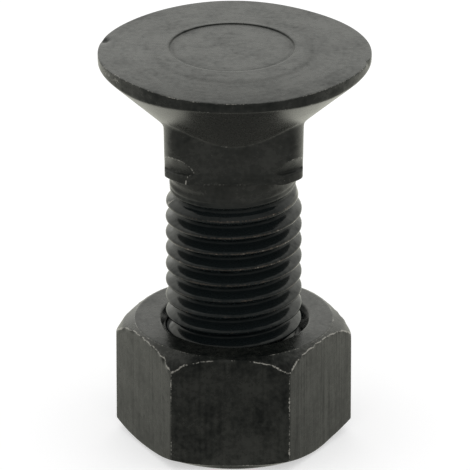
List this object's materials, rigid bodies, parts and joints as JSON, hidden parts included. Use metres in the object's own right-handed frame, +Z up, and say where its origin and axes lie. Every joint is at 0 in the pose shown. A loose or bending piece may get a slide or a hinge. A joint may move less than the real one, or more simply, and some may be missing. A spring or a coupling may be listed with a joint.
{
  "type": "plow bolt",
  "caption": "Flat countersunk plow bolt with a short square neck and a coarse right-hand thread, standing on the hexagon nut that runs on it.",
  "frame": {"origin": "on the bolt's axis at the nut's lower face, where the part stands", "axes": "+Z up along the bolt's axis towards the head, the camera side with one flat of the neck is -Y"},
  "size_m": [0.04, 0.04, 0.06],
  "materials": {
    "bolt_steel": "black oxide, satin, forged",
    "nut_steel": "black oxide, satin, worn bright on the edges"
  },
  "bodies": {
    "bolt": {"bolt": "bolt_steel"},
    "nut": {"hex_nut": "nut_steel"}
  },
  "joints": [
    {"name": "nut_travel", "type": "slide", "parent": "bolt", "child": "nut", "axis": [0, 0, 1], "range_m": [-0.02, 0.02]}
  ]
}
